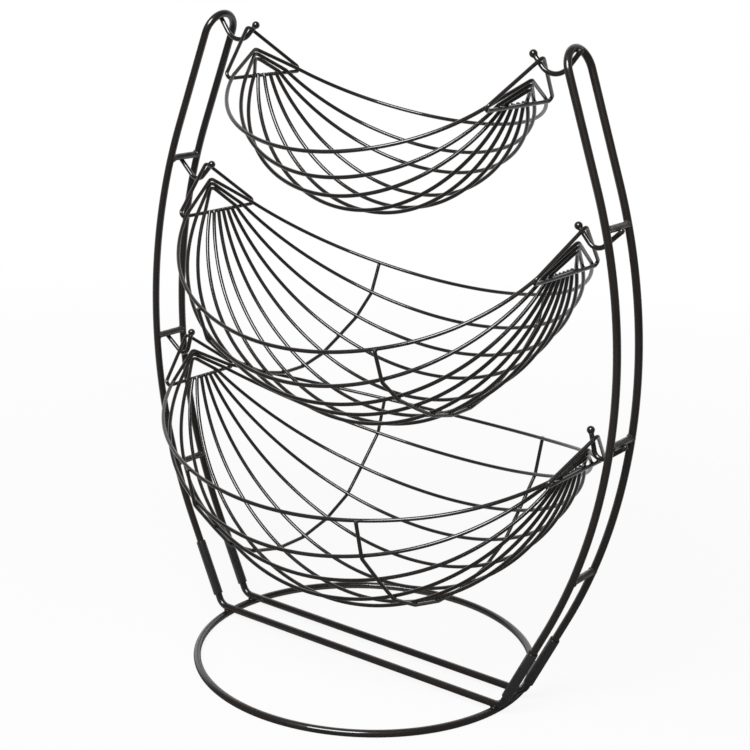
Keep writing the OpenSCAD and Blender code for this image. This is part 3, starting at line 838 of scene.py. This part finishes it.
def basket_weld_places(basket):
    """Places, directions between the wires and ways along them, of a basket's welds."""
    places = []
    normals = []
    ways = []
    for x_side in (LEFT, RIGHT):
        for y_side in (FRONT, REAR):
            for wire in basket.loops + basket.ribs:
                sunk = wire.crossing - CONTACT / 2 * wire.over
                along = np.array([np.cos(wire.slope), 0, np.sin(wire.slope)])
                drift = BAR_LEAD * np.tan(wire.tilt) * np.sin(wire.slope)
                touch = sunk - BAR_LEAD * along + [0, drift, 0]
                places.append(touch * [x_side, y_side, 1])
                normals.append(wire.over * [x_side, 1, 1])
                ways.append([0, 1, 0])
            if basket.cross_x is not None:
                seats, outwards, nodes = basket.cross_seats()
                for seat, outward, node in zip(seats, outwards, nodes):
                    places.append((seat + node) / 2 * [x_side, y_side, 1])
                    normals.append(outward * [1, y_side, 1])
                    ways.append([1, 0, 0])
        for number in (0, 1):
            between = (basket.peak(number) + basket.peak(number + 1)) / 2 * [x_side, 1, 1]
            places.append(between + [-x_side * PEAK_BEND * 0.25, 0, 0])
            normals.append([0, 0, 1])
            ways.append([0, 1, 0])
    return np.array(places), np.array(normals, float), np.array(ways, float)


def build_camera():
    """Camera at the photograph's angle, turned by azimuth, elevation and roll."""
    azimuth, elevation, roll = np.radians([36.14, 16.42, 2.03])
    back = np.array([
        np.sin(azimuth) * np.cos(elevation),
        -np.cos(azimuth) * np.cos(elevation),
        np.sin(elevation),
    ])
    level = np.array([np.cos(azimuth), np.sin(azimuth), 0])
    above = np.cross(back, level)
    right = level * np.cos(roll) + above * np.sin(roll)
    up = above * np.cos(roll) - level * np.sin(roll)
    camera = bpy.data.objects.new("photo_camera", bpy.data.cameras.new("photo_camera"))
    camera.data.sensor_width = 36
    camera.data.lens = 80.95
    camera.data.clip_start = 0.05
    camera.data.clip_end = 50
    camera.matrix_world = Matrix([
        [right[0], up[0], back[0], 0.7624],
        [right[1], up[1], back[1], -1.0436],
        [right[2], up[2], back[2], 0.6266],
        [0, 0, 0, 1],
    ])
    bpy.context.scene.collection.objects.link(camera)
    bpy.context.scene.camera = camera


def build_light(name, azimuth, elevation, distance, width, height, radiance):
    """A softbox that faces the middle of the stand. Its power is pi times its area times its radiance."""
    azimuth, elevation = np.radians([azimuth, elevation])
    back = np.array([
        np.sin(azimuth) * np.cos(elevation),
        -np.cos(azimuth) * np.cos(elevation),
        np.sin(elevation),
    ])
    right = np.array([np.cos(azimuth), np.sin(azimuth), 0])
    up = np.cross(back, right)
    lamp = bpy.data.lights.new(name, "AREA")
    lamp.shape = "RECTANGLE"
    lamp.size = width
    lamp.size_y = height
    lamp.energy = np.pi * width * height * radiance
    place = np.array([0, 0, 0.26]) + back * distance
    light = bpy.data.objects.new(name, lamp)
    light.matrix_world = Matrix([
        [right[0], up[0], back[0], place[0]],
        [right[1], up[1], back[1], place[1]],
        [right[2], up[2], back[2], place[2]],
        [0, 0, 0, 1],
    ])
    bpy.context.scene.collection.objects.link(light)


def build_studio():
    """White world, a white floor and a softbox. Gloss sees white behind the stand and a dim room in front of it."""
    frontward = (0.59, -0.807, 0)
    world = bpy.data.worlds.new("studio")
    bpy.context.scene.world = world
    sky = Tree(world)
    way = sky.node("ShaderNodeTexCoord", output="Generated")
    facing = sky.node("ShaderNodeVectorMath", {"operation": "DOT_PRODUCT"}, {0: way, 1: frontward}, output="Value")
    room = sky.node(
        "ShaderNodeMapRange",
        {"interpolation_type": "SMOOTHSTEP"},
        {"Value": facing, "From Min": -0.85, "From Max": -0.25, "To Min": 0.84, "To Max": 0.08},
    )
    camera_ray = sky.node("ShaderNodeLightPath", output="Is Camera Ray")
    glossy_ray = sky.node("ShaderNodeLightPath", output="Is Glossy Ray")
    strength = 0.3 + camera_ray * 0.7 + glossy_ray * (room - 0.3)
    background = sky.tree.nodes["Background"]
    background.inputs["Color"].default_value = (1, 1, 1, 1)
    sky.feed(background.inputs["Strength"], strength)

    half = 12
    corners = np.array([[-half, -half, 0], [half, -half, 0], [half, half, 0], [-half, half, 0]], float)
    floor = add_mesh("floor", corners, [[0, 1, 2, 3]])
    finish = Finish("floor_white")
    finish.set(Base_Color=(0.84, 0.84, 0.84, 1), Roughness=0.9)
    finish.shader.inputs["Specular IOR Level"].default_value = 0.1
    camera_ray = finish.node("ShaderNodeLightPath", output="Is Camera Ray")
    glossy_ray = finish.node("ShaderNodeLightPath", output="Is Glossy Ray")
    forward = finish.node(
        "ShaderNodeVectorMath", {"operation": "DOT_PRODUCT"}, {0: finish.place, 1: frontward}, output="Value"
    )
    # Painted shade in reflections: glossy rays see the floor in front of the stand go dark, standing in for the dim
    # room there, while the camera still sees it white.
    dim = finish.node(
        "ShaderNodeMapRange",
        {"interpolation_type": "SMOOTHSTEP"},
        {"Value": forward, "From Min": -0.3, "From Max": 0.12, "To Min": 0.0, "To Max": 0.88},
    )
    away = finish.node("ShaderNodeVectorMath", {"operation": "LENGTH"}, {0: finish.place}, output="Value")
    clean = finish.node("ShaderNodeMapRange", values={"Value": away, "From Min": 0.3, "From Max": 1.5, "To Min": 0.9})
    lit = Socket(finish, finish.shader.outputs[0])
    white = finish.node("ShaderNodeEmission", values={"Strength": 1.0})
    dark = finish.node("ShaderNodeEmission", values={"Strength": 0.0})
    shown = finish.node("ShaderNodeMixShader", values={0: camera_ray * clean, 1: lit, 2: white})
    mirrored = finish.node("ShaderNodeMixShader", values={0: glossy_ray * dim, 1: shown, 2: dark})
    finish.feed(finish.tree.nodes["Material Output"].inputs["Surface"], mirrored)
    floor.data.materials.append(finish.material)

    build_light("front_softbox", 16, 44, 2.2, 1.2, 1.0, 13)
    bpy.context.scene.view_settings.view_transform = "Standard"


build_camera()
build_stand()
build_stand_welds()
for basket in BASKETS:
    build_basket(basket)
build_studio()
